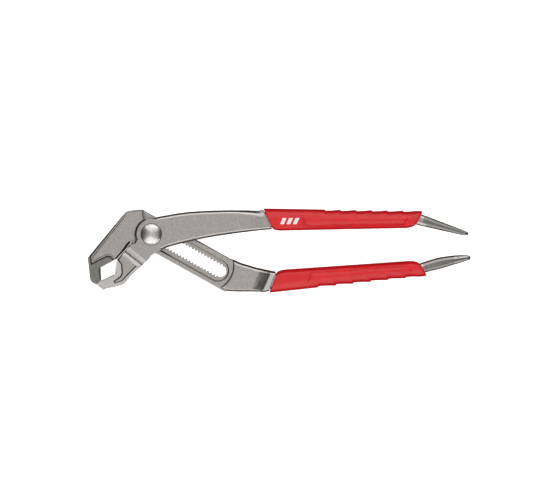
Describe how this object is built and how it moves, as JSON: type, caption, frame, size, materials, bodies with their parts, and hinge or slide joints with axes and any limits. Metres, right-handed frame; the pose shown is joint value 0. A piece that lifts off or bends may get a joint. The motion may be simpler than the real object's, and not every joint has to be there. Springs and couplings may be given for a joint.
{
  "type": "tongue and groove pliers",
  "caption": "Slip joint pliers with serrated V jaws, a toothed slot that the pivot slides along, red moulded handle grips and bare reaming spikes at the handle ends.",
  "frame": {"origin": "on the pivot's axis, on the back face of the pivot nut, which is the rearmost face; the pliers lie flat with the bolt head up", "axes": "+X along the pliers from the jaws to the handle ends, +Y from the slotted arm's handle to the front arm's handle, +Z out of the bolt head, along the pivot's axis"},
  "size_m": [0.2589, 0.057, 0.0186],
  "materials": {
    "forged_steel": "forged chrome vanadium steel, blasted and satin ground, with a thin clear oil film",
    "grip": "dip-moulded red vinyl with a soft satin skin",
    "hard_steel": "hardened steel with a dark oiled finish",
    "turned_steel": "bright steel turned on a lathe"
  },
  "bodies": {
    "slotted": {"slotted_arm": "forged_steel", "lower_grip": "grip"},
    "slider": {"slide_washer": "hard_steel", "disc_spring": "hard_steel"},
    "front": {"front_arm": "forged_steel", "upper_grip": "grip", "pivot_block": "hard_steel", "pivot_bolt": "turned_steel", "pivot_nut": "turned_steel"}
  },
  "joints": [
    {"name": "jaw_adjust", "type": "slide", "parent": "slotted", "child": "slider", "axis": [0.8721, -0.4894, 0], "range_m": [0, 0.0288]},
    {"name": "handle_pivot", "type": "hinge", "parent": "slider", "child": "front", "pos_m": [0, 0, 0], "axis": [0, 0, 1], "range_deg": [0, 30]}
  ]
}
